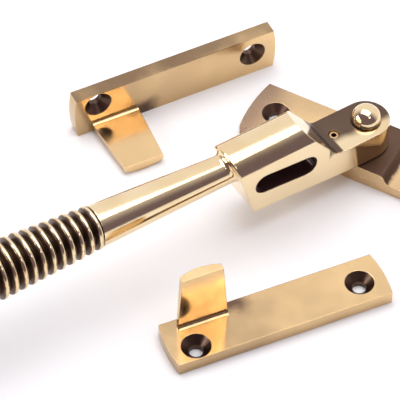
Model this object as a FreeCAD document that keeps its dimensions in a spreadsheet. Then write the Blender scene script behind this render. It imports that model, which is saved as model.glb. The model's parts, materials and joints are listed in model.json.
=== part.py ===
import FreeCAD, Part
import os

import Sketcher

# A locking night-vent casement fastener in aged brass with its two hook plates.
# Millimetres. Origin: pivot axis at the back face of the base plate.
# +X runs along the base plate, +Y across it, +Z along the pivot pin, away from the window.

SIZES = {
    # base plate, a bar with bowed ends and a raised boss that carries the pivot
    "plate_length": 74.0,
    "plate_width": 19.0,
    "plate_thickness": 3.5,
    "plate_end_bow": 0.9,
    "screw_from_end": 8.0,
    "plate_hole_radius": 2.1,
    "plate_countersink_radius": 4.2,
    "plate_countersink_depth": 2.1,
    "boss_height": 6.6,
    "boss_half_length": 14.0,
    "boss_top_round": 1.2,
    "pivot_hole_radius": 2.5,
    "tail_recess_radius": 5.5,
    "tail_recess_depth": 3.0,
    # pivot pin with a domed head and a riveted tail
    "head_gap": 0.05,
    "dome_radius": 4.5,
    "dome_height": 4.2,
    "dome_neck_radius": 4.1,
    "dome_neck_height": 0.35,
    "rivet_radius": 3.4,
    "rivet_height": 1.0,
    "washer_radius": 4.9,
    "washer_hole_radius": 2.6,
    "spring_thickness": 0.9,
    "burr_thickness": 0.8,
    "thrust_radius": 6.3,
    "thrust_thickness": 0.5,
    # handle casting: flat lug, slotted block and tapered shank
    "handle_angle": 241.5,
    "lug_half_width": 6.95,
    "lug_thickness": 9.5,
    "lug_hole_radius": 2.55,
    "underside_rise_start": 10.0,
    "block_low_end": 43.0,
    "block_low_height": 2.5,
    "block_high_end": 49.2,
    "block_crest": 24.2,
    "block_round_radius": 7.8,
    "block_edge_round": 0.6,
    "shoulder_foot": 15.6,
    "shoulder_foot_height": 10.9,
    "shoulder_crest": 25.7,
    "scoop_end": 13.0,
    "scoop_radius": 3.0,
    "slot_length": 21.0,
    "slot_height": 7.0,
    "slot_middle": 32.2,
    "slot_middle_height": 11.7,
    "slot_tilt": 5.5,
    "shank_start": 44.0,
    "shank_start_height": 17.56,
    "shank_start_radius": 4.24,
    "shank_tilt": 3.2,
    "shank_length": 47.3,
    "shank_end_radius": 6.15,
    "shank_fillet": 1.35,
    "tang_radius": 3.5,
    "tang_length": 34.0,
    # lock screw, a hexagon-socket grub screw in the lug
    "lock_from_pivot": 11.2,
    "lock_radius": 1.55,
    "lock_length": 8.1,
    "lock_retreat": 1.2,
    "lock_clearance": 0.05,
    "lock_chamfer": 0.3,
    "socket_across_flats": 1.5,
    "socket_depth": 2.2,
    # beehive grip, narrow turned beads with wide grooves between them
    "bead_count": 17,
    "bead_pitch": 3.06,
    "bead_radius": 0.8,
    "bead_half_width": 0.72,
    "groove_depth": 1.7,
    "bead_first_radius": 6.5,
    "grip_swell": 0.055,
    "grip_knee": 29.0,
    "grip_close": 0.0105,
    "grip_collar": 1.0,
    "grip_collar_radius": 5.5,
    "grip_end_radius": 3.9,
    "grip_tip_start": 1.2,
    # hook plates, left and right hand
    "hook_length": 66.0,
    "hook_width": 15.0,
    "hook_thickness": 4.2,
    "hook_end_bow": 0.75,
    "hook_hole_near": 7.6,
    "hook_hole_near_side": 4.4,
    "hook_hole_far": 58.3,
    "hook_hole_far_side": 7.0,
    "hook_hole_radius": 2.05,
    "hook_countersink_radius": 4.25,
    "hook_countersink_depth": 2.3,
    "tongue_middle": 12.8,
    "tongue_set_back": 0.2,
    "tongue_height": 20.0,
    "tongue_root_width": 15.0,
    "tongue_tip_width": 12.2,
    "tongue_thickness": 3.0,
    "tongue_side_thickness": 1.1,
    "tongue_root_fillet": 1.2,
    # where the hook plates lie beside the fastener
    "flat_hook_along": 5.4,
    "flat_hook_across": -65.1,
    "flat_hook_angle": 51.85,
    "standing_hook_along": -62.2,
    "standing_hook_across": -4.6,
    "standing_hook_angle": 55.2,
}

doc = FreeCAD.newDocument("casement_fastener")


sheet = doc.addObject("Spreadsheet::Sheet", "Sizes")
for row, (alias, size) in enumerate(SIZES.items(), start=1):
    sheet.set(f"A{row}", alias)
    sheet.set(f"B{row}", str(size))
    sheet.setAlias(f"B{row}", alias)
doc.recompute()


def number(formula):
    """The present value of a formula over size names, worked out in a spare cell."""
    sheet.set("D1", f"={formula}")
    sheet.recompute()
    return float(sheet.get("D1"))


def cells(formula):
    """A formula over size names as an expression over sheet cells."""
    words = []
    for word in formula.split():
        words.append(f"Sizes.{word}" if word in SIZES else word)
    return " ".join(words)


def bind(piece, **formulas):
    """Bind properties of a piece to formulas; x, y, z and the angle belong to its placement."""
    paths = {"x": "Placement.Base.x", "y": "Placement.Base.y", "z": "Placement.Base.z"}
    paths["angle"] = "Placement.Rotation.Angle"
    for name, formula in formulas.items():
        piece.setExpression(paths.get(name, name), cells(formula))
    return piece


def turned(piece, axis, degrees=90.0):
    """Turn a primitive about one of its own axes before its position is bound."""
    piece.Placement = FreeCAD.Placement(FreeCAD.Vector(), FreeCAD.Rotation(axis, degrees))
    return piece


AXIS_X = FreeCAD.Vector(1, 0, 0)
AXIS_Y = FreeCAD.Vector(0, 1, 0)
AXIS_Z = FreeCAD.Vector(0, 0, 1)


def box(name, **formulas):
    return bind(doc.addObject("Part::Box", name), **formulas)


def cylinder(name, axis=None, **formulas):
    piece = doc.addObject("Part::Cylinder", name)
    if axis is not None:
        turned(piece, axis)
    return bind(piece, **formulas)


def cone(name, **formulas):
    return bind(doc.addObject("Part::Cone", name), **formulas)


def fused(name, pieces):
    result = doc.addObject("Part::MultiFuse", name)
    result.Shapes = pieces
    result.Refine = True
    return result


def common(name, pieces):
    result = doc.addObject("Part::MultiCommon", name)
    result.Shapes = pieces
    return result


def cut(name, base, tools):
    tool = tools[0] if len(tools) == 1 else fused(f"{name}_tools", tools)
    result = doc.addObject("Part::Cut", name)
    result.Base = base
    result.Tool = tool
    return result


def rounded(name, base, radius_name, wanted):
    """Round the edges of a piece that the test picks out."""
    doc.recompute()
    numbers = [n for n, edge in enumerate(base.Shape.Edges, start=1) if wanted(edge)]
    result = doc.addObject("Part::Fillet", name)
    result.Base = base
    radius = SIZES[radius_name]
    result.Edges = [(n, radius, radius) for n in numbers]
    return result


def body_sketch(body_name, role):
    """A body with one empty sketch on one of its own origin planes."""
    body = doc.addObject("PartDesign::Body", body_name)
    sketch = body.newObject("Sketcher::SketchObject", f"{body_name}_sketch")
    planes = [plane for plane in body.Origin.OriginFeatures if plane.Role == role]
    sketch.AttachmentSupport = [(planes[0], "")]
    sketch.MapMode = "FlatFace"
    return body, sketch


def hold(sketch, kind, first, point, formula, value):
    """Hold one sketch point at a named distance from the sketch's origin."""
    index = sketch.addConstraint(Sketcher.Constraint(kind, -1, 1, first, point, value))
    sketch.setExpression(f"Constraints[{index}]", cells(formula))


def closed_outline(sketch, corners, arcs):
    """Draw a closed outline; corners are named pairs, arcs give a middle point and a radius."""
    places = [FreeCAD.Vector(number(across), number(up), 0) for across, up in corners]
    ends = []
    for side, start in enumerate(places):
        end = places[(side + 1) % len(places)]
        if side not in arcs:
            sketch.addGeometry(Part.LineSegment(start, end))
            ends.append((1, 2))
            continue
        # An arc runs anticlockwise, so one drawn the other way has its ends swapped.
        middle = arcs[side][0]
        if (middle - start).cross(end - middle).z > 0:
            sketch.addGeometry(Part.Arc(start, middle, end))
            ends.append((1, 2))
        else:
            sketch.addGeometry(Part.Arc(end, middle, start))
            ends.append((2, 1))
    for side, (across, up) in enumerate(corners):
        before = (side - 1) % len(places)
        sketch.addConstraint(Sketcher.Constraint(
            "Coincident", before, ends[before][1], side, ends[side][0]))
        hold(sketch, "DistanceX", side, ends[side][0], across, places[side].x)
        hold(sketch, "DistanceY", side, ends[side][0], up, places[side].y)
    for side, (_, formula) in arcs.items():
        radius = sketch.Geometry[side].Radius
        bound = sketch.addConstraint(Sketcher.Constraint("Radius", side, radius))
        sketch.setExpression(f"Constraints[{bound}]", cells(formula))


def pad(body, sketch, formula, symmetric=False):
    feature = body.newObject("PartDesign::Pad", f"{body.Name}_pad")
    feature.Profile = sketch
    if symmetric:
        feature.SideType = "Symmetric"
    feature.setExpression("Length", cells(formula))
    body.Tip = feature


def bar(name, kind):
    """A flat bar centred on the origin, its two ends bowed outwards by a small arc."""
    body, sketch = body_sketch(name, "XY_Plane")
    right = f"{kind}_length / 2 - {kind}_end_bow"
    left = f"0 - ( {right} )"
    far = f"{kind}_width / 2"
    near = f"0 - {far}"
    corners = [(left, near), (right, near), (right, far), (left, far)]
    reach = SIZES[f"{kind}_length"] / 2
    radius = f"( {far} * {far} + {kind}_end_bow * {kind}_end_bow ) / ( 2 * {kind}_end_bow )"
    arcs = {1: (FreeCAD.Vector(reach, 0, 0), radius), 3: (FreeCAD.Vector(-reach, 0, 0), radius)}
    closed_outline(sketch, corners, arcs)
    pad(body, sketch, f"{kind}_thickness")
    return body


def countersunk(name, along, across, kind):
    """A through hole with a countersink at the top face of a bar."""
    hole = cylinder(f"{name}_hole", Radius=f"{kind}_hole_radius", Height=f"{kind}_thickness + 2",
                    x=along, y=across, z="0 - 1")
    mouth = cone(f"{name}_mouth", Radius1=f"{kind}_hole_radius", x=along, y=across,
                 Radius2=f"{kind}_countersink_radius", Height=f"{kind}_countersink_depth",
                 z=f"{kind}_thickness - {kind}_countersink_depth")
    lip = cylinder(f"{name}_lip", Radius=f"{kind}_countersink_radius", Height="1",
                   x=along, y=across, z=f"{kind}_thickness")
    return [hole, mouth, lip]


def level_edge(edge, height):
    """True for an edge that lies flat at a height."""
    bounds = edge.BoundBox
    return abs(bounds.ZMin - height) < 0.001 and abs(bounds.ZMax - height) < 0.001


def make_base_plate():
    """Bowed bar, full-width boss with hollowed ends, two countersunk holes, pivot hole."""
    blank = bar("plate_blank", "plate")
    boss = box("boss_block", Length="2 * boss_half_length", Width="plate_width",
               Height="boss_height", x="0 - boss_half_length", y="0 - plate_width / 2", z="0")
    hollows = []
    for side, sign in (("left", "0 -"), ("right", "0 +")):
        hollows.append(cylinder(
            f"boss_hollow_{side}", AXIS_X, Radius="boss_height - plate_thickness",
            Height="plate_width + 2", x=f"{sign} boss_half_length",
            y="plate_width / 2 + 1", z="boss_height"))
    boss_shape = cut("boss_hollowed", boss, hollows)
    solid = fused("plate_and_boss", [blank, boss_shape])

    def boss_rim(edge):
        middle = SIZES["boss_half_length"] - SIZES["boss_height"] + SIZES["plate_thickness"]
        across = edge.BoundBox.YLength > SIZES["plate_width"] - 0.01
        return level_edge(edge, SIZES["boss_height"]) and across and abs(
            abs(edge.BoundBox.Center.x) - middle) < 0.01

    softened = rounded("plate_softened", solid, "boss_top_round", boss_rim)
    holes = []
    for side, sign in (("left", "0 -"), ("right", "0 +")):
        holes += countersunk(f"plate_{side}", f"{sign} ( plate_length / 2 - screw_from_end )",
                             "0", "plate")
    holes.append(cylinder("pivot_hole", Radius="pivot_hole_radius", Height="boss_height + 2",
                          z="0 - 1"))
    holes.append(cylinder("tail_recess", Radius="tail_recess_radius", z="0 - 1",
                          Height="tail_recess_depth + 1"))
    return cut("base_plate", softened, holes)


def make_pivot_pin():
    """Domed head over the lug, straight shank, riveted tail inside the back recess."""
    top = "boss_height + thrust_thickness + lug_thickness + head_gap"
    dome_ball = doc.addObject("Part::Sphere", "dome_ball")
    ball = "( dome_radius * dome_radius + dome_height * dome_height ) / ( 2 * dome_height )"
    bind(dome_ball, Radius=ball, z=f"{top} + dome_neck_height + dome_height - {ball}")
    dome_slab = cylinder("dome_slab", Radius="dome_radius + 1", Height="dome_height",
                         z=f"{top} + dome_neck_height")
    dome = common("dome", [dome_ball, dome_slab])
    neck = cylinder("dome_neck", Radius="dome_neck_radius", Height="dome_neck_height", z=top)
    bottom = "tail_recess_depth - spring_thickness - burr_thickness - rivet_height"
    shank = cylinder("pin_shank", Radius="pivot_hole_radius", z=bottom,
                     Height=f"{top} - ( {bottom} )")
    tail = cylinder("pin_tail", Radius="rivet_radius", Height="rivet_height", z=bottom)
    return fused("pivot_pin", [shank, dome, neck, tail])


def make_washer(name, outer, thickness, base):
    """A flat ring round the pivot."""
    disc = cylinder(f"{name}_disc", Radius=outer, Height=thickness, z=base)
    hole = cylinder(f"{name}_hole", Radius="washer_hole_radius", Height=f"{thickness} + 2",
                    z=f"{base} - 1")
    return cut(name, disc, [hole])


def make_lug_and_block():
    """Side outline of lug and block, cut to a round-topped section and a round lug end."""
    side, sketch = body_sketch("side_outline", "XZ_Plane")
    corners = [
        ("0 - lug_half_width", "0"), ("underside_rise_start", "0"),
        ("block_low_end", "block_low_height"), ("block_high_end", "block_crest"),
        ("shoulder_crest", "block_crest"), ("shoulder_foot", "shoulder_foot_height"),
        ("scoop_end", "lug_thickness"), ("0 - lug_half_width", "lug_thickness"),
    ]
    scoop_middle = FreeCAD.Vector(
        SIZES["scoop_end"] + SIZES["scoop_radius"] * 0.5,
        SIZES["lug_thickness"] + SIZES["scoop_radius"] * (1 - 0.75 ** 0.5), 0)
    closed_outline(sketch, corners, {5: (scoop_middle, "scoop_radius")})
    pad(side, sketch, "2 * lug_half_width", symmetric=True)
    round_middle = "block_crest - block_round_radius"
    crease = (f"{round_middle} + sqrt( block_round_radius * block_round_radius - "
              "lug_half_width * lug_half_width )")
    flank = box("block_flanks", Length="60", Width="2 * lug_half_width", Height=crease,
                x="0 - 8", y="0 - lug_half_width", z="0")
    top = cylinder("block_round", AXIS_Y, Radius="block_round_radius", Height="60",
                   x="0 - 8", z=round_middle)
    slab = box("block_slab", Length="60", Width="2 * lug_half_width", Height="30",
               x="0 - 8", y="0 - lug_half_width", z="0")
    section = common("block_section", [slab, fused("block_flanks_and_round", [flank, top])])
    lug_end = cylinder("lug_end_round", Radius="lug_half_width", Height="30")
    lug_rest = box("lug_rest", Length="60", Width="2 * lug_half_width", Height="30",
                   x="0", y="0 - lug_half_width", z="0")
    plan = fused("lug_plan", [lug_end, lug_rest])
    sharp = common("lug_and_block", [side, section, plan])

    def far_end(edge):
        return edge.BoundBox.XMin > SIZES["block_low_end"] - 0.01

    return rounded("block_softened", sharp, "block_edge_round", far_end)


def make_slot():
    """Night-vent slot cutter: a bar with round ends through the block, slightly tilted."""
    middle = box("slot_middle_bar", Length="slot_length - slot_height", Width="30",
                 Height="slot_height", x="0 - ( slot_length - slot_height ) / 2", y="0 - 15",
                 z="0 - slot_height / 2")
    ends = []
    for side, sign in (("left", "0 -"), ("right", "0 +")):
        ends.append(cylinder(f"slot_end_{side}", AXIS_X, Radius="slot_height / 2", Height="30",
                             x=f"{sign} ( slot_length - slot_height ) / 2", y="15", z="0"))
    slot = fused("slot", [middle] + ends)
    turned(slot, AXIS_Y, -SIZES["slot_tilt"])
    return bind(slot, x="slot_middle", z="slot_middle_height")


def make_handle_casting():
    """Lug, block, tapered shank and the tang that carries the grip, as one casting."""
    shank = cone("shank", Radius1="shank_start_radius", Radius2="shank_end_radius",
                 Height="shank_length")
    tang = cylinder("tang", Radius="tang_radius", Height="tang_length", z="shank_length")
    arm = fused("shank_and_tang", [shank, tang])
    turned(arm, AXIS_Y, 90 - SIZES["shank_tilt"])
    bind(arm, x="shank_start", z="shank_start_height")
    block = cut("slotted_block", make_lug_and_block(), [make_slot()])
    whole = fused("handle_blank", [block, arm])
    pivot = cylinder("lug_hole", Radius="lug_hole_radius", Height="lug_thickness + 4", z="0 - 1")
    lock = cylinder("lock_hole", Radius="lock_radius + lock_clearance", x="lock_from_pivot",
                    Height="lug_thickness + 4", z="0 - 1")
    bored = cut("handle_bored", whole, [pivot, lock])

    def shank_root(edge):
        bounds = edge.BoundBox
        across = 2 * SIZES["shank_start_radius"]
        near_block = SIZES["block_low_end"] < bounds.Center.x < SIZES["block_high_end"]
        return near_block and bounds.ZLength > across and across < bounds.YLength < 1.2 * across

    return on_handle("handle_casting", rounded("handle_flared", bored, "shank_fillet", shank_root))


def on_handle(name, piece):
    """Carry a piece drawn along the handle to the handle's height and resting angle."""
    carried = doc.addObject("Part::Compound", name)
    carried.Links = [piece]
    turned(carried, AXIS_Z, SIZES["handle_angle"])
    return bind(carried, angle="handle_angle", z="boss_height + thrust_thickness")


def make_lock_screw():
    """Grub screw with a hexagon socket, chamfered at both ends."""
    along = "lock_from_pivot"
    shaft = cylinder("lock_shaft", Radius="lock_radius", x=along,
                     Height="lock_length - 2 * lock_chamfer", z="lock_retreat + lock_chamfer")
    tip = cone("lock_tip", Radius1="lock_radius - lock_chamfer", Radius2="lock_radius",
               Height="lock_chamfer", x=along, z="lock_retreat")
    crown = cone("lock_crown", Radius1="lock_radius", Radius2="lock_radius - lock_chamfer",
                 Height="lock_chamfer", x=along,
                 z="lock_retreat + lock_length - lock_chamfer")
    socket = doc.addObject("Part::Prism", "lock_socket")
    socket.Polygon = 6
    bind(socket, Circumradius="socket_across_flats / sqrt( 3 )", Height="socket_depth + 1",
         x=along, z="lock_retreat + lock_length - socket_depth")
    solid = fused("lock_solid", [shaft, tip, crown])
    return on_handle("lock_screw", cut("lock_body", solid, [socket]))


def turn_round(body, sketch):
    """Turn a sketch once round its own horizontal axis."""
    feature = body.newObject("PartDesign::Revolution", f"{body.Name}_turn")
    feature.Profile = sketch
    feature.ReferenceAxis = (sketch, ["H_Axis"])
    feature.Angle = 360
    body.Tip = feature


def bead_crest(order):
    """Outer radius of a bead: a steady swell, then a quicker fall towards the free end."""
    reach = f"bead_pitch * {order}"
    fall = f"max( 0 ; {reach} - grip_knee )"
    return f"( bead_first_radius + grip_swell * {reach} - grip_close * {fall} * {fall} )"


def make_beehive_grip():
    """Turned beads with V grooves between them, a domed end, a bore that fits the tang."""
    body, sketch = body_sketch("grip_turned", "XZ_Plane")
    corners = [("0", "tang_radius"), ("0", "grip_collar_radius")]
    arcs = {}
    drop = ("( bead_radius - sqrt( bead_radius * bead_radius - "
            "bead_half_width * bead_half_width ) )")
    for order in range(SIZES["bead_count"]):
        place = f"grip_collar + bead_pitch * {order}"
        crest = bead_crest(order)
        top = FreeCAD.Vector(number(place), number(crest), 0)
        arcs[len(corners)] = (top, "bead_radius")
        corners.append((f"{place} - bead_half_width", f"{crest} - {drop}"))
        corners.append((f"{place} + bead_half_width", f"{crest} - {drop}"))
        if order + 1 < SIZES["bead_count"]:
            valley = f"( {crest} + {bead_crest(order + 1)} ) / 2 - groove_depth"
            corners.append((f"{place} + bead_pitch / 2", valley))
    last = "( grip_collar + bead_pitch * ( bead_count - 1 ) )"
    reach = number("grip_end_radius")
    tip_middle = FreeCAD.Vector(number(last) + 0.8 * reach, 0.6 * reach, 0)
    arcs[len(corners)] = (tip_middle, "grip_end_radius")
    corners.append((f"{last} + grip_tip_start",
                    "sqrt( grip_end_radius * grip_end_radius - grip_tip_start * grip_tip_start )"))
    corners.append((f"{last} + grip_end_radius", "0"))
    corners.append(("tang_length", "0"))
    corners.append(("tang_length", "tang_radius"))
    closed_outline(sketch, corners, arcs)
    turn_round(body, sketch)
    turned(body, AXIS_Y, -SIZES["shank_tilt"])
    bind(body, x="shank_start + shank_length * cos( shank_tilt * 1deg )",
         z="shank_start_height + shank_length * sin( shank_tilt * 1deg )")
    return on_handle("beehive_grip", body)


def make_tongue(name, side):
    """Hook tongue: flat inner face, bowed outer face, tapering towards its tip."""
    body, sketch = body_sketch(f"{name}_tongue_front", "XZ_Plane")
    middle = "tongue_middle - hook_length / 2"
    top = "hook_thickness + tongue_height"
    corners = [(f"{middle} - tongue_root_width / 2", "hook_thickness"),
               (f"{middle} + tongue_root_width / 2", "hook_thickness"),
               (f"{middle} + tongue_tip_width / 2", top),
               (f"{middle} - tongue_tip_width / 2", top)]
    closed_outline(sketch, corners, {})
    pad(body, sketch, "4 * hook_width", symmetric=True)
    outer = "( hook_width / 2 - tongue_set_back )"
    slab = box(f"{name}_tongue_slab", Length="hook_length", Width="tongue_thickness",
               Height=top, x="0 - hook_length / 2", z="0",
               y=f"{outer} - tongue_thickness" if side > 0 else f"0 - {outer}")
    bulge = "( tongue_thickness - tongue_side_thickness )"
    radius = f"( tongue_root_width * tongue_root_width / 4 + {bulge} * {bulge} ) / ( 2 * {bulge} )"
    sign = "0 +" if side > 0 else "0 -"
    bow = cylinder(f"{name}_tongue_bow", Radius=radius, Height=top, x=middle,
                   y=f"{sign} ( {outer} - {radius} )")
    return common(f"{name}_tongue", [body, slab, bow])


def make_hook_plate(name, side):
    """Bowed bar with a tongue on one long edge and two countersunk holes."""
    blank = bar(f"{name}_blank", "hook")
    solid = fused(f"{name}_solid", [blank, make_tongue(name, side)])

    def tongue_root(edge):
        inner = side * number("hook_width / 2 - tongue_set_back - tongue_thickness")
        bounds = edge.BoundBox
        return (level_edge(edge, SIZES["hook_thickness"]) and bounds.YLength < 0.01
                and abs(bounds.Center.y - inner) < 0.01)

    softened = rounded(f"{name}_softened", solid, "tongue_root_fillet", tongue_root)
    sign = "0 +" if side > 0 else "0 -"
    holes = []
    for place in ("near", "far"):
        along = f"hook_hole_{place} - hook_length / 2"
        across = f"{sign} ( hook_hole_{place}_side - hook_width / 2 )"
        holes += countersunk(f"{name}_{place}", along, across, "hook")
    return cut(name, softened, holes)


def place_hook_plates():
    """One hook plate lies on its back; its mirror image stands on its long edge."""
    flat = make_hook_plate("hook_plate_left", 1)
    turned(flat, AXIS_Z, SIZES["flat_hook_angle"])
    bind(flat, angle="flat_hook_angle", x="flat_hook_along", y="flat_hook_across")
    standing = make_hook_plate("hook_plate_right", -1)
    upright = FreeCAD.Rotation(AXIS_X, 90)
    heading = FreeCAD.Rotation(AXIS_Z, SIZES["standing_hook_angle"])
    standing.Placement = FreeCAD.Placement(FreeCAD.Vector(), heading.multiply(upright))
    bind(standing, x="standing_hook_along", y="standing_hook_across", z="hook_width / 2")
    return [flat, standing]


def make_all():
    """Every separate piece, each an object whose name is its file's name."""
    spring_base = "tail_recess_depth - spring_thickness"
    return [
        make_base_plate(),
        make_pivot_pin(),
        make_washer("thrust_washer", "thrust_radius", "thrust_thickness", "boss_height"),
        make_washer("spring_washer", "washer_radius", "spring_thickness", spring_base),
        make_washer("burr_washer", "washer_radius", "burr_thickness",
                    f"{spring_base} - burr_thickness"),
        make_handle_casting(),
        make_lock_screw(),
        make_beehive_grip(),
    ] + place_hook_plates()


def check_all(pieces):
    """Stop on any failed object and on any piece that is empty, broken or not one solid."""
    doc.recompute()
    failed = [member.Name for member in doc.Objects
              if "Invalid" in member.State or "Error" in member.State]
    if failed:
        raise RuntimeError(f"failed objects: {failed}")
    for piece in pieces:
        piece.Label = piece.Name
        if piece.Shape.isNull() or not piece.Shape.isValid() or len(piece.Shape.Solids) != 1:
            raise RuntimeError(f"{piece.Label} is not one sound solid")


all_pieces = make_all()
check_all(all_pieces)
os.makedirs("parts", exist_ok=True)
for piece in all_pieces:
    piece.Shape.exportStep(f"parts/{piece.Label}.step")
    print(piece.Label, round(piece.Shape.Volume, 1), "mm3")
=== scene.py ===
"""Studio picture of an aged brass casement fastener with its two hook plates."""

import json
import math

import bpy
from mathutils import Matrix, Vector


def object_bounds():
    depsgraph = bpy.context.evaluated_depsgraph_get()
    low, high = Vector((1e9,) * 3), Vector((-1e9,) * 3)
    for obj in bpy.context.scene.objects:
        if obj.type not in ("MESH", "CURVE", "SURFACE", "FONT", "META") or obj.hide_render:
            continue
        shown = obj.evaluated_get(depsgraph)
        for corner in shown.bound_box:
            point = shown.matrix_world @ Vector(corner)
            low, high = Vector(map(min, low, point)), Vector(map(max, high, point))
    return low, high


MM = 0.001

# The view: the fastener's pivot stands right of centre, its plate turned away from the lens.
PLATE_TURN = math.radians(28.9)
PIVOT_FROM_AIM = Vector((47.84, 16.61, 0.0)) * MM
CAMERA_ELEVATION = math.radians(50.0)
CAMERA_DISTANCE = 767.3 * MM
FOCAL_IN_FRAME_WIDTHS = 2654.0 / 400.0
SENSOR_WIDTH_MM = 36.0

FLOOR_SIZE = 6.0
FLOOR_GAP = 0.02 * MM

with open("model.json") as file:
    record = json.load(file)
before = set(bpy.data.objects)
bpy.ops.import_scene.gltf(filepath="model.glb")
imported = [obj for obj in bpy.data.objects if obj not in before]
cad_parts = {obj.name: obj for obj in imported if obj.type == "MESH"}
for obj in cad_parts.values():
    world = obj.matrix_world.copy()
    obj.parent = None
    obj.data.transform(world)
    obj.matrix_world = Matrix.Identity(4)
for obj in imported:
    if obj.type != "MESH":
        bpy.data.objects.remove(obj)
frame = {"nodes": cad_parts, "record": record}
cad_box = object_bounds()


# ---------------------------------------------------------------- node helpers

class Graph:
    """A short way to write shader nodes: most calls add nodes and return an output."""

    def __init__(self, name):
        self.material = bpy.data.materials.new(name)
        self.material.use_nodes = True
        self.tree = self.material.node_tree
        self.tree.nodes.clear()

    def add(self, kind, **settings):
        node = self.tree.nodes.new(kind)
        for key, value in settings.items():
            setattr(node, key, value)
        return node

    def feed(self, socket, value):
        if isinstance(value, bpy.types.NodeSocket):
            self.tree.links.new(value, socket)
        elif value is not None:
            socket.default_value = value

    def math(self, operation, first, second=None, clamp=False):
        node = self.add("ShaderNodeMath", operation=operation, use_clamp=clamp)
        self.feed(node.inputs[0], first)
        self.feed(node.inputs[1], second)
        return node.outputs[0]

    def ramp(self, value, low, high, start=0.0, end=1.0):
        """Maps value from low..high to start..end, smoothly and clamped."""
        node = self.add("ShaderNodeMapRange", interpolation_type="SMOOTHSTEP")
        self.feed(node.inputs["Value"], value)
        self.feed(node.inputs["From Min"], low)
        self.feed(node.inputs["From Max"], high)
        self.feed(node.inputs["To Min"], start)
        self.feed(node.inputs["To Max"], end)
        return node.outputs["Result"]

    def mix(self, share, first, second):
        node = self.add("ShaderNodeMix", data_type="RGBA")
        self.feed(node.inputs["Factor"], share)
        self.feed(node.inputs[6], first)
        self.feed(node.inputs[7], second)
        return node.outputs[2]

    def place(self):
        return self.add("ShaderNodeTexCoord").outputs["Object"]

    def stretched(self, scale):
        """Object coordinates scaled by three factors."""
        node = self.add("ShaderNodeVectorMath", operation="MULTIPLY")
        self.feed(node.inputs[0], self.place())
        node.inputs[1].default_value = scale
        return node.outputs[0]

    def noise(self, scale, detail=3.0, roughness=0.55, stretch=(1.0, 1.0, 1.0)):
        node = self.add("ShaderNodeTexNoise")
        self.feed(node.inputs["Vector"], self.stretched(stretch))
        self.feed(node.inputs["Scale"], scale)
        self.feed(node.inputs["Detail"], detail)
        self.feed(node.inputs["Roughness"], roughness)
        return node.outputs["Fac"]

    def shelter(self, distance):
        """1 in corners and holes, 0 on open faces."""
        node = self.add("ShaderNodeAmbientOcclusion", samples=8, only_local=True)
        self.feed(node.inputs["Distance"], distance)
        return self.math("SUBTRACT", 1.0, node.outputs["AO"])

    def parts_of(self, vector):
        node = self.add("ShaderNodeSeparateXYZ")
        self.feed(node.inputs[0], vector)
        return node.outputs

    def vector(self, operation, first, second):
        node = self.add("ShaderNodeVectorMath", operation=operation)
        self.feed(node.inputs[0], first)
        self.feed(node.inputs[1], second)
        return node.outputs["Vector"]

    def dot(self, first, second):
        node = self.add("ShaderNodeVectorMath", operation="DOT_PRODUCT")
        self.feed(node.inputs[0], first)
        self.feed(node.inputs[1], second)
        return node.outputs["Value"]

    def normal(self):
        return self.parts_of(self.add("ShaderNodeTexCoord").outputs["Normal"])

    def bump(self, height, strength, distance, normal):
        node = self.add("ShaderNodeBump")
        self.feed(node.inputs["Normal"], normal)
        self.feed(node.inputs["Height"], height)
        self.feed(node.inputs["Strength"], strength)
        self.feed(node.inputs["Distance"], distance)
        return node.outputs["Normal"]

    def finish(self, colour, roughness, normal=None, metallic=1.0):
        shader = self.add("ShaderNodeBsdfPrincipled")
        self.feed(shader.inputs["Base Color"], colour)
        self.feed(shader.inputs["Roughness"], roughness)
        self.feed(shader.inputs["Metallic"], metallic)
        if normal is not None:
            self.feed(shader.inputs["Normal"], normal)
        output = self.add("ShaderNodeOutputMaterial")
        self.tree.links.new(shader.outputs[0], output.inputs["Surface"])
        return self.material


# ------------------------------------------------------------------- materials

POLISHED = (0.90, 0.73, 0.46, 1.0)
HONEY = (0.84, 0.64, 0.36, 1.0)
TAN = (0.82, 0.58, 0.30, 1.0)
OLD_TAN = (0.56, 0.39, 0.21, 1.0)
BROWNED = (0.40, 0.27, 0.18, 1.0)
# Near-black for deep patina in the deepest hollows and for the painted shade inside the slot.
DEEP_PATINA_AND_SHADE = (0.060, 0.026, 0.026, 1.0)
PLUM = (0.066, 0.033, 0.030, 1.0)

HANDLE_ANGLE = math.radians(241.5)
ALONG_HANDLE = (math.cos(HANDLE_ANGLE), math.sin(HANDLE_ANGLE), 0.0)
ACROSS_HANDLE = (-math.sin(HANDLE_ANGLE), math.cos(HANDLE_ANGLE), 0.0)
GRIP_TILT = math.radians(3.2)
SHANK_START = 44.0 * MM
SHANK_START_HEIGHT = 24.66 * MM
SHANK_TO_BEAD = 48.3 * MM
FIRST_BEAD = SHANK_START + SHANK_TO_BEAD * math.cos(GRIP_TILT)
FIRST_BEAD_HEIGHT = SHANK_START_HEIGHT + SHANK_TO_BEAD * math.sin(GRIP_TILT)
BEAD_PITCH = 3.06 * MM

# Reaches of the handle's dark places: along the handle, across it, and above the base.
LUG_RUN = (-7 * MM, 13.4 * MM)
LUG_TOP = (16.45 * MM, 17.2 * MM)
LUG_FADING = (1.2 * MM, 4.2 * MM)
SCOOP_RUN = (12.6 * MM, 17.2 * MM)
SCOOP_HEIGHT = (16.5 * MM, 20.6 * MM)
SCOOP_FADING = (6.3 * MM, 6.9 * MM)
SLOT_RUN = (20.5 * MM, 43.5 * MM)
SLOT_ACROSS = (-6.75 * MM, 6.75 * MM)
SLOT_HEIGHT = (13.5 * MM, 24.0 * MM)
SLOT_SOFTNESS = 0.1 * MM
DOME_FOOT = (16.9 * MM, 18.3 * MM)
BOSS_FOOT = (3.7 * MM, 4.3 * MM)


def window(g, value, low, high, soft):
    """1 where a value lies between two limits, fading over a soft width outside them."""
    rise = g.ramp(value, low - soft, low)
    fall = g.ramp(value, high, high + soft, 1.0, 0.0)
    return g.math("MULTIPLY", rise, fall)


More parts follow.
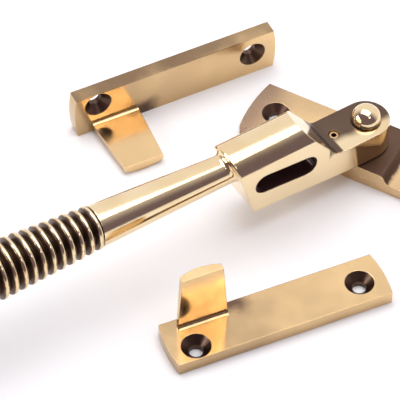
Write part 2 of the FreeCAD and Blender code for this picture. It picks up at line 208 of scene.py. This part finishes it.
def lug_patina(g):
    """Dark patina on the lug's flat top and in the scoop, fading towards the near edge."""
    place = g.place()
    along = g.dot(place, ALONG_HANDLE)
    across = g.dot(place, ACROSS_HANDLE)
    height = g.parts_of(place)[2]
    wobble = g.ramp(g.noise(120.0, 1.0), 0.3, 0.7, -0.5 * MM, 0.5 * MM)
    near = g.math("ADD", across, wobble)
    flat = g.math("MULTIPLY", window(g, along, *LUG_RUN, 0.6 * MM),
                  window(g, height, *LUG_TOP, 0.05 * MM))
    faded = g.math("MULTIPLY", flat, g.ramp(near, *LUG_FADING, 1.0, 0.0))
    scoop = g.math("MULTIPLY", window(g, along, *SCOOP_RUN, 0.5 * MM),
                   window(g, height, *SCOOP_HEIGHT, 0.9 * MM))
    inner = g.math("MULTIPLY", scoop, g.ramp(near, *SCOOP_FADING, 1.0, 0.0))
    return g.math("MAXIMUM", faded, inner)


def slot_painted_shade(g):
    """Painted shade: near-black inside the night-vent slot."""
    place = g.place()
    along = window(g, g.dot(place, ALONG_HANDLE), *SLOT_RUN, SLOT_SOFTNESS)
    across = g.dot(place, ACROSS_HANDLE)
    inside = window(g, across, *SLOT_ACROSS, SLOT_SOFTNESS)
    height = window(g, g.parts_of(place)[2], *SLOT_HEIGHT, SLOT_SOFTNESS)
    return g.math("MULTIPLY", g.math("MULTIPLY", along, inside), height)


def dome_foot_darkening(g):
    """Brown round the foot of the pin's domed head, fading out towards its top."""
    return g.ramp(g.parts_of(g.place())[2], *DOME_FOOT, 0.75, 0.0)


def boss_patina(g):
    """Dark patina over the boss's top and hollowed ends."""
    place = g.parts_of(g.place())
    wobble = g.ramp(g.noise(200.0), 0.3, 0.7, -0.25 * MM, 0.25 * MM)
    up = g.ramp(g.normal()[2], 0.15, 0.4)
    high = g.ramp(g.math("ADD", place[2], wobble), *BOSS_FOOT)
    return g.math("MULTIPLY", up, high)


def groove_patina(g):
    """Dark purple-brown in the wide grooves between the beads of the grip."""
    axis = Vector(ALONG_HANDLE) * math.cos(GRIP_TILT) + Vector((0, 0, math.sin(GRIP_TILT)))
    start = Vector(ALONG_HANDLE) * FIRST_BEAD + Vector((0, 0, FIRST_BEAD_HEIGHT))
    reach = g.math("SUBTRACT", g.dot(g.place(), axis), start.dot(axis))
    wave = g.math("COSINE", g.math("MULTIPLY", reach, 2 * math.pi / BEAD_PITCH))
    wobble = g.ramp(g.noise(300.0), 0.3, 0.7, -0.2, 0.2)
    on_grip = g.ramp(reach, -1.3 * MM, -1.0 * MM)
    return g.math("MULTIPLY", on_grip, g.ramp(g.math("ADD", wave, wobble), 0.25, 0.85, 1.0, 0.0))


def hole_patina_and_painted_shade(centres, axis, reach):
    """Builds a mask that is 1 inside round holes, for patina in the countersinks and painted
    shade down the bores: their axes pass through the given points.
    """
    def mask(g):
        whole = None
        place = g.place()
        for centre in centres:
            away = g.vector("SUBTRACT", place, centre)
            turned = g.vector("CROSS_PRODUCT", away, axis)
            far = g.add("ShaderNodeVectorMath", operation="LENGTH")
            g.feed(far.inputs[0], turned)
            inside = g.ramp(far.outputs["Value"], reach - 0.1 * MM, reach + 0.05 * MM, 1.0, 0.0)
            whole = inside if whole is None else g.math("MAXIMUM", whole, inside)
        return whole
    return mask


def aged_brass(name, bright, dull, patina_reach, rough, dark_places=(), black_places=(),
               fading=None, edge=0.22 * MM):
    """Polished brass whose sheltered corners keep a dark plum-brown patina; the places passed in
    darken it further, with painted shade in the slot and down the screw holes.
    """
    g = Graph(name)
    cloud = g.noise(110.0, 4.0)
    streak = g.ramp(g.noise(45.0, 2.0), 0.38, 0.68)
    if fading is not None:
        streak = g.math("ADD", g.math("MULTIPLY", streak, 0.35), fading(g), clamp=True)
    colour = g.mix(streak, bright, dull)
    shelter = g.math("ADD", g.shelter(patina_reach), g.ramp(cloud, 0.3, 0.75, -0.10, 0.10))
    dark = g.ramp(shelter, 0.22, 0.62)
    # dark_places add patina and stains, and painted shade down the screw holes.
    for place in dark_places:
        dark = g.math("MAXIMUM", dark, place(g))
    # Near-black: deep patina where shelter is deepest, plus painted shade in black_places (the
    # slot).
    black = g.ramp(shelter, 0.62, 0.95)
    for place in black_places:
        black = g.math("MAXIMUM", black, place(g))
    colour = g.mix(g.math("MULTIPLY", dark, 0.92), colour, PLUM)
    colour = g.mix(black, colour, DEEP_PATINA_AND_SHADE)
    roughness = g.math("ADD", g.ramp(cloud, 0.3, 0.7, rough * 0.8, rough * 1.25),
                       g.math("MULTIPLY", dark, 0.16))
    grain = g.noise(1400.0, 5.0)
    rounded = g.add("ShaderNodeBevel", samples=6)
    rounded.inputs["Radius"].default_value = edge
    normal = g.bump(grain, 0.10, 0.00008, rounded.outputs[0])
    return g.finish(colour, roughness, normal, g.ramp(black, 0.0, 1.0, 1.0, 0.35))


def dress(node, material):
    """Give a carried-over CAD piece its material."""
    piece = frame["nodes"][node]
    piece.data.materials.clear()
    piece.data.materials.append(material)


mounts = {mount["name"]: mount for mount in frame["record"]["mounts"]}


def towards(start, end):
    """Builds a mask that grows from 0 at one point to 1 at another."""
    step = Vector(end) - Vector(start)
    direction = step / step.length_squared

    def mask(g):
        return g.ramp(g.math("SUBTRACT", g.dot(g.place(), direction),
                             Vector(start).dot(direction)), 0.0, 1.0)
    return mask


HOOK_RUN = {"left": math.radians(51.85), "right": math.radians(55.2)}
HOOK_HOLE_OFFSET = {"along": 25.35 * MM, "across": 1.3 * MM}
HOOK_MOUTH_REACH = 4.2 * MM
BASE_MOUTH_REACH = 4.15 * MM


def hook_axes(hand):
    """Directions of one hook plate: along it, out of its face, and towards its tongue's edge."""
    along = Vector((math.cos(HOOK_RUN[hand]), math.sin(HOOK_RUN[hand]), 0.0))
    out = Vector(mounts[f"{hand}_hook_screws"]["axis"])
    side = out.cross(along) * (1 if hand == "left" else -1)
    return along, out, side


def hook_screws(hand):
    """The two hole centres, the one beside the tongue first, from the plate's screw pattern."""
    along, _, side = hook_axes(hand)
    middle = Vector(mounts[f"{hand}_hook_screws"]["pos_m"])
    step = along * HOOK_HOLE_OFFSET["along"] + side * HOOK_HOLE_OFFSET["across"]
    return middle - step, middle + step


def hook_holes(hand):
    """Hole mask of one hook plate: patina in the countersinks, painted shade down the bores."""
    return hole_patina_and_painted_shade(hook_screws(hand), hook_axes(hand)[1], HOOK_MOUTH_REACH)


def root_fading(hand):
    """Duller brass over the plate's face from mid length to the tongue, not on the tongue."""
    near, far = hook_screws(hand)
    out = hook_axes(hand)[1]
    back = near.dot(out)

    def mask(g):
        above = g.math("SUBTRACT", g.dot(g.place(), out), back)
        on_plate = g.ramp(above, 4.3 * MM, 5.2 * MM, 1.0, 0.0)
        return g.math("MULTIPLY", towards(far, near)(g), on_plate)
    return mask


def beside_tongue(hand):
    """A dark stain on the plate's face where the tongue's root ends."""
    along, out, side = hook_axes(hand)
    middle = Vector(mounts[f"{hand}_hook_back"]["pos_m"])

    def mask(g):
        place = g.place()
        wobble = g.ramp(g.noise(150.0, 3.0), 0.3, 0.7, -1.2 * MM, 1.2 * MM)
        run = g.math("SUBTRACT", g.dot(place, along), middle.dot(along))
        run = g.math("ADD", run, wobble)
        across = g.math("SUBTRACT", g.dot(place, side), middle.dot(side))
        above = g.math("SUBTRACT", g.dot(place, out), middle.dot(out))
        patch = g.math("MULTIPLY", window(g, run, -13.0 * MM, -9.0 * MM, 5.0 * MM),
                       g.ramp(g.math("ADD", across, wobble), 0.0, 6.0 * MM))
        return g.math("MULTIPLY", patch, g.ramp(above, 4.25 * MM, 4.9 * MM, 0.95, 0.0))
    return mask


def top_edge_patina(g):
    """Partly worn patina along the standing plate's upper long edge."""
    height = g.ramp(g.parts_of(g.place())[2], 14.5 * MM, 14.9 * MM, 0.0, 0.72)
    return g.math("MULTIPLY", height, g.ramp(g.noise(90.0, 2.0), 0.25, 0.6, 0.55, 1.0))


plate_screws = mounts["base_screws"]["dims"]["spacing_x_mm"] / 2 * MM
# The base plate's screw holes: patina in the countersinks, painted shade down the bores.
plate_holes = hole_patina_and_painted_shade([(-plate_screws, 0, 0), (plate_screws, 0, 0)], (0, 0, 1),
                          BASE_MOUTH_REACH)

dress("base_plate", aged_brass("plate_brass", TAN, BROWNED, 4 * MM, 0.24,
                               [boss_patina, plate_holes],
                               fading=towards((-24 * MM, 0, 0), (-36 * MM, 0, 0))))
# The handle's slot is painted near-black as shade.
dress("handle_casting", aged_brass("body_brass", POLISHED, HONEY, 1.3 * MM, 0.12,
                                   [lug_patina], [slot_painted_shade], edge=0.4 * MM))
dress("beehive_grip", aged_brass("grip_brass", POLISHED, HONEY, 1.2 * MM, 0.16, [groove_patina]))
dress("pivot_pin", aged_brass("dome_brass", POLISHED, HONEY, 0.8 * MM, 0.08, [dome_foot_darkening]))
dark_brass = aged_brass("dark_brass", OLD_TAN, PLUM, 2 * MM, 0.32)
for dark_piece in ("lock_screw", "thrust_washer", "spring_washer", "burr_washer"):
    dress(dark_piece, dark_brass)
for hand, marks in (("left", []), ("right", [top_edge_patina])):
    brass = aged_brass(f"{hand}_hook_brass", TAN, OLD_TAN, 3.0 * MM, 0.18,
                       [hook_holes(hand), beside_tongue(hand)] + marks, fading=root_fading(hand))
    dress(f"hook_plate_{hand}", brass)


# -------------------------------------------------------------- floor and light

def world_point(x, y, z=0.0):
    """A point given in the view's own axes (right, away, up from the aim point), in mm."""
    turn = Matrix.Rotation(PLATE_TURN, 4, "Z")
    return turn @ (Vector((x, y, z)) * MM - PIVOT_FROM_AIM)


def make_floor():
    mesh = bpy.data.meshes.new("floor")
    half = FLOOR_SIZE / 2
    corners = [(-half, -half, 0), (half, -half, 0), (half, half, 0), (-half, half, 0)]
    mesh.from_pydata(corners, [], [(0, 1, 2, 3)])
    floor = bpy.data.objects.new("floor", mesh)
    floor.location.z = cad_box[0].z - FLOOR_GAP
    bpy.context.scene.collection.objects.link(floor)
    g = Graph("floor_white")
    tint = g.mix(g.noise(3.0), (0.93, 0.93, 0.94, 1.0), (0.96, 0.96, 0.96, 1.0))
    floor.data.materials.append(g.finish(tint, 0.9, metallic=0.0))


def add_softbox(name, place, aim, width, height, watts):
    """A rectangular lamp: place and aim in the view's own axes in mm, its size in metres."""
    data = bpy.data.lights.new(name, "AREA")
    data.shape = "RECTANGLE"
    data.size = width
    data.size_y = height
    data.energy = watts
    lamp = bpy.data.objects.new(name, data)
    start = world_point(*place)
    direction = world_point(*aim) - start
    lamp.location = start
    lamp.rotation_euler = direction.to_track_quat("-Z", "Y").to_euler()
    bpy.context.scene.collection.objects.link(lamp)


def make_world():
    """A studio that is pale beyond the object and dim on the photographer's side."""
    world = bpy.data.worlds.new("studio")
    bpy.context.scene.world = world
    world.use_nodes = True
    tree = world.node_tree
    background = tree.nodes["Background"]
    direction = tree.nodes.new("ShaderNodeTexCoord").outputs["Generated"]
    beyond = tree.nodes.new("ShaderNodeVectorMath")
    beyond.operation = "DOT_PRODUCT"
    tree.links.new(direction, beyond.inputs[0])
    beyond.inputs[1].default_value = Matrix.Rotation(PLATE_TURN, 3, "Z") @ Vector((0.25, 0.97, 0))
    tone = tree.nodes.new("ShaderNodeValToRGB")
    tone.color_ramp.elements[0].position = 0.42
    tone.color_ramp.elements[0].color = (0.17, 0.13, 0.17, 1.0)
    tone.color_ramp.elements[1].position = 0.74
    tone.color_ramp.elements[1].color = (1.0, 0.97, 1.0, 1.0)
    share = tree.nodes.new("ShaderNodeMapRange")
    share.inputs["From Min"].default_value = -1.0
    share.inputs["From Max"].default_value = 1.0
    tree.links.new(beyond.outputs["Value"], share.inputs["Value"])
    tree.links.new(share.outputs["Result"], tone.inputs["Fac"])
    tree.links.new(tone.outputs["Color"], background.inputs["Color"])
    background.inputs["Strength"].default_value = 1.0


def make_lights():
    make_world()
    add_softbox("overhead", (0, 95, 700), (0, 95, 0), 0.8, 0.48, 3.9)
    add_softbox("near_right", (325, -330, 536), (0, 0, 0), 0.11, 0.11, 0.24)
    add_softbox("left_fill", (-600, -150, 260), (0, 0, 0), 0.35, 0.25, 1.6)


def make_camera():
    data = bpy.data.cameras.new("camera")
    data.sensor_width = SENSOR_WIDTH_MM
    data.lens = SENSOR_WIDTH_MM * FOCAL_IN_FRAME_WIDTHS
    data.clip_start = 0.01
    camera = bpy.data.objects.new("camera", data)
    back = -CAMERA_DISTANCE / MM * math.cos(CAMERA_ELEVATION)
    up = CAMERA_DISTANCE / MM * math.sin(CAMERA_ELEVATION)
    start = world_point(0, back, up)
    camera.location = start
    camera.rotation_euler = (world_point(0, 0) - start).to_track_quat("-Z", "Y").to_euler()
    bpy.context.scene.collection.objects.link(camera)
    bpy.context.scene.camera = camera
    bpy.context.scene.view_settings.view_transform = "Standard"


make_floor()
make_lights()
make_camera()
